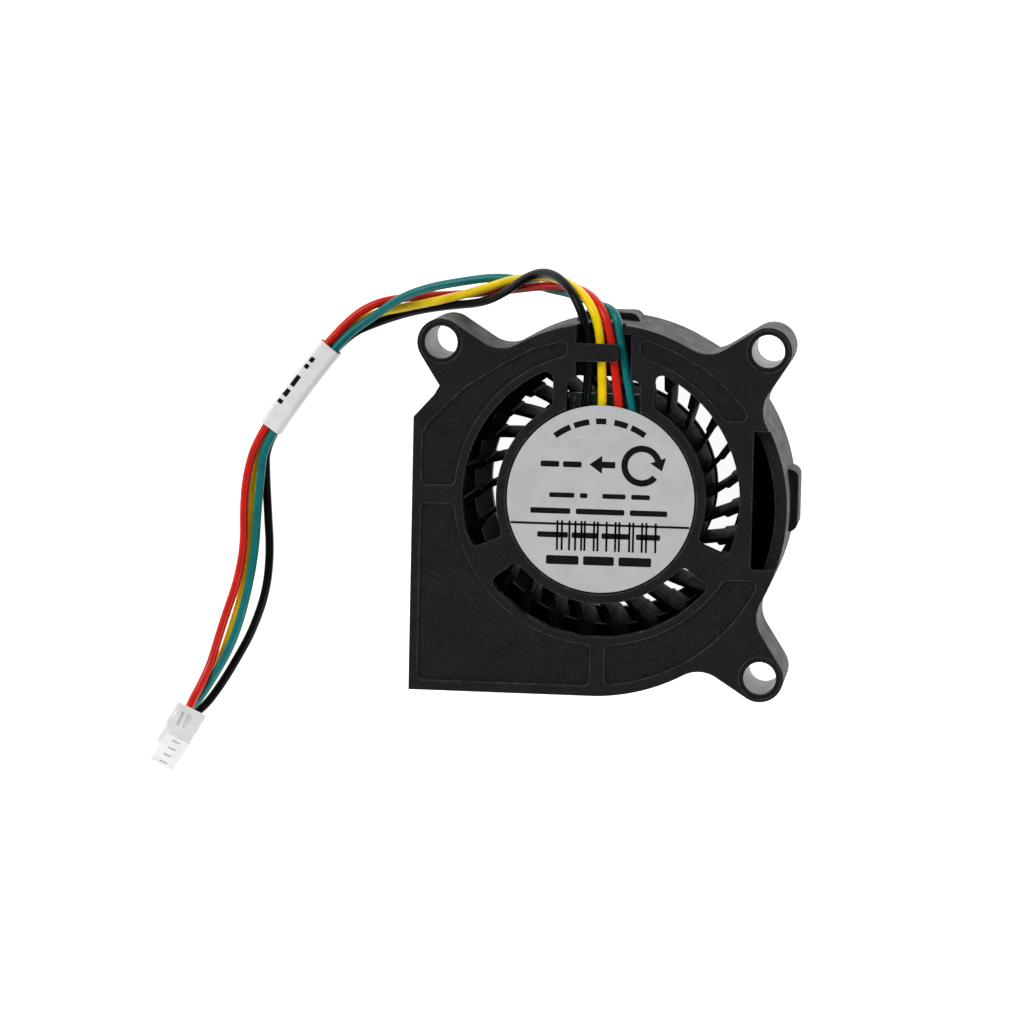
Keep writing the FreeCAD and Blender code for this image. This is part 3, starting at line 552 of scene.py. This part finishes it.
# Plain bars stand where the label has lines of print, and two arrows stand for its marks:
# which way the rotor turns, and which way the air leaves. In millimetres and degrees, but for
# the gaps under the ink.
BARS = [
    (-6.5, -4.5, 3.65, 0.62), (-4.1, -2.1, 3.65, 0.62),
    (-5.5, -2.8, 0.33, 0.52), (-2.2, -1.4, 0.33, 0.52), (0.2, 2.7, 0.33, 0.52),
    (3.3, 5.3, 0.33, 0.52),
    (-7.5, -3.2, -1.38, 0.6), (-2.6, 2.6, -1.38, 0.6), (3.2, 7.2, -1.38, 0.6),
    (-6.7, -3.4, -3.95, 0.6), (-3.0, -0.2, -3.95, 0.6), (0.2, 3.3, -3.95, 0.6),
    (3.9, 6.5, -3.95, 0.6),
    (-5.7, -2.2, -6.65, 0.95), (-1.7, 1.6, -6.65, 0.95), (2.1, 5.6, -6.65, 0.95),
]
TICKS = [-4.55, -4.05, -3.25, -2.6, -1.95, -1.6, -0.6, -0.2, 0.75, 1.7, 2.1, 3.2, 3.6, 4.55, 5.0,
         6.0]
TICK_HALF, TICK_Y, TICK_LENGTH = 0.055, -4.0, 3.2
RULE_HALF, RULE_Y, RULE_WIDTH = 9.62, -2.77, 0.24
CURVED_LINE_R, CURVED_LINE_WIDTH = 8.35, 0.62
CURVED_WORDS = [(56.5, 68), (71, 81), (87, 94.5), (99.5, 111), (114, 127)]
ROTATION_MARK = (4.35, 3.7, 1.85)
ROTATION_END, ROTATION_START = 20, 320
ROTATION_HEAD = 1.05
AIR_ARROW = (1.5, -1.25, 3.7)
AIR_HEAD = 1.35
ARROW_WIDTH = 0.68
MARK_GAP, TICK_GAP = 0.000004, 0.000014

flat_marks = [rounded_bar(*bar) for bar in BARS]
flat_marks.append(rounded_bar(-RULE_HALF, RULE_HALF, RULE_Y, RULE_WIDTH))
flat_marks += [ring_sector(0, 0, CURVED_LINE_R, CURVED_LINE_WIDTH, first, last)
               for first, last in CURVED_WORDS]
flat_marks.append(ring_sector(*ROTATION_MARK, ARROW_WIDTH, ROTATION_END, ROTATION_START))
flat_marks.append(arrow_head(*ROTATION_MARK, ROTATION_END, ROTATION_HEAD))
flat_marks.append(arrow(*AIR_ARROW, ARROW_WIDTH, AIR_HEAD))


def on_label(points, gap):
    """Puts a flat outline just over the film, and gives the ink's thickness."""
    return [(x * MM, y * MM, LABEL_TOP + gap) for x, y in points], Vector((0, 0, INK_THICK))


printed("label_marks", [on_label(points, MARK_GAP) for points in flat_marks])
printed("label_ticks", [on_label(rounded_bar(x - TICK_HALF, x + TICK_HALF, TICK_Y, TICK_LENGTH),
                                 TICK_GAP) for x in TICKS])

# Generic bars on the sleeve's upper left edge, in place of its print. Lengths in millimetres.
SLEEVE_START = Vector((-39.9, 3.3, 1.3))
SLEEVE_ALONG = Vector((0.5651, 0.8250, 0.0))
SLEEVE_ACROSS = Vector((0.8250, -0.5651, 0.0))
SLEEVE_HALF_W, SLEEVE_HALF_H = 1.42, 1.22
SLEEVE_CORNER = 0.65
SLEEVE_BEND_FROM, SLEEVE_BEND_R = 5.19, 95.0
SLEEVE_BARS = [(4.9, 5.4), (5.9, 6.8), (7.3, 8.7), (9.8, 10.3), (10.7, 11.3)]
PRINT_FROM, PRINT_TURN = 35, 73     # degrees round the corner: its start, and per whole share
FLAT_FROM, FLAT_WIDTH = 0.75, 1.2   # share where the flat top starts, and its width per share
PRINT_GAP = 0.012


def sleeve_middle(along):
    """A point on the sleeve's centre line, which bends gently to the right."""
    bent = max(0.0, along - SLEEVE_BEND_FROM)
    return (SLEEVE_START + SLEEVE_ALONG * along
            + SLEEVE_ACROSS * bent * bent / (2 * SLEEVE_BEND_R))


def sleeve_section(share):
    """From low on the left corner, at 0, to the flat top, at 1: offset and outward direction."""
    a = math.radians(min(PRINT_FROM + PRINT_TURN * share, 90))
    beyond = max(0.0, share - FLAT_FROM) * FLAT_WIDTH
    out = SLEEVE_ACROSS * -math.cos(a) + Vector((0, 0, math.sin(a)))
    middle = (SLEEVE_ACROSS * (SLEEVE_CORNER - SLEEVE_HALF_W + beyond)
              + Vector((0, 0, SLEEVE_HALF_H - SLEEVE_CORNER)))
    return middle + out * (SLEEVE_CORNER + PRINT_GAP), out


def sleeve_print():
    """Thin strips that follow the rounded corner of the sleeve."""
    strips, steps = [], 12
    for first, last in SLEEVE_BARS:
        for i in range(steps):
            low, _ = sleeve_section(i / steps)
            high, _ = sleeve_section((i + 1) / steps)
            _, out = sleeve_section((i + 0.5) / steps)
            corners = [(sleeve_middle(along) + offset) * MM
                       for offset, along in ((low, first), (high, first), (high, last), (low, last))]
            strips.append((corners, out * 0.000006))
    return strips


printed("sleeve_bars", sleeve_print())

# ---- floor and light ----------------------------------------------------------------------
floor_mesh = bpy.data.meshes.new("floor")
floor_mesh.from_pydata([(x * FLOOR_HALF, y * FLOOR_HALF, FLOOR_Z)
                        for x, y in ((-1, -1), (1, -1), (1, 1), (-1, 1))], [], [(0, 1, 2, 3)])
floor = bpy.data.objects.new("floor", floor_mesh)
scene.collection.objects.link(floor)
paper = Shade("white_acrylic")
paper.put("Base Color", (0.8, 0.8, 0.8, 1))
paper.put("Roughness", 0.9)
paper.put("Emission Color", (1, 1, 1, 1))
paper.put("Emission Strength", 0.95)
floor_mesh.materials.append(paper.material)


def soft_box(name, place, size, power):
    """A square lamp that faces the origin. Metres and watts."""
    data = bpy.data.lights.new(name, "AREA")
    data.shape = "SQUARE"
    data.size = size
    data.energy = power
    lamp = bpy.data.objects.new(name, data)
    lamp.location = place
    lamp.rotation_mode = "QUATERNION"
    lamp.rotation_quaternion = (-Vector(place)).to_track_quat("-Z", "Y")
    scene.collection.objects.link(lamp)


soft_box("key", (-0.45, 0.40, 0.55), 0.40, 3.0)
soft_box("fill", (0.55, -0.25, 0.45), 0.45, 1.8)
soft_box("low", (-0.1, -0.6, 0.35), 0.40, 1.2)

sky = bpy.data.worlds.new("studio")
sky.use_nodes = True
scene.world = sky
tree = sky.node_tree
height = tree.nodes.new("ShaderNodeSeparateXYZ")
tree.links.new(tree.nodes.new("ShaderNodeTexCoord").outputs["Generated"], height.inputs[0])
fade = tree.nodes.new("ShaderNodeMapRange")
fade.inputs["From Min"].default_value, fade.inputs["From Max"].default_value = 0.55, 0.95
fade.inputs["To Min"].default_value, fade.inputs["To Max"].default_value = 0.55, 0.2
tree.links.new(height.outputs["Z"], fade.inputs["Value"])
tree.links.new(fade.outputs["Result"], tree.nodes["Background"].inputs["Strength"])
tree.nodes["Background"].inputs["Color"].default_value = (1, 1, 1, 1)
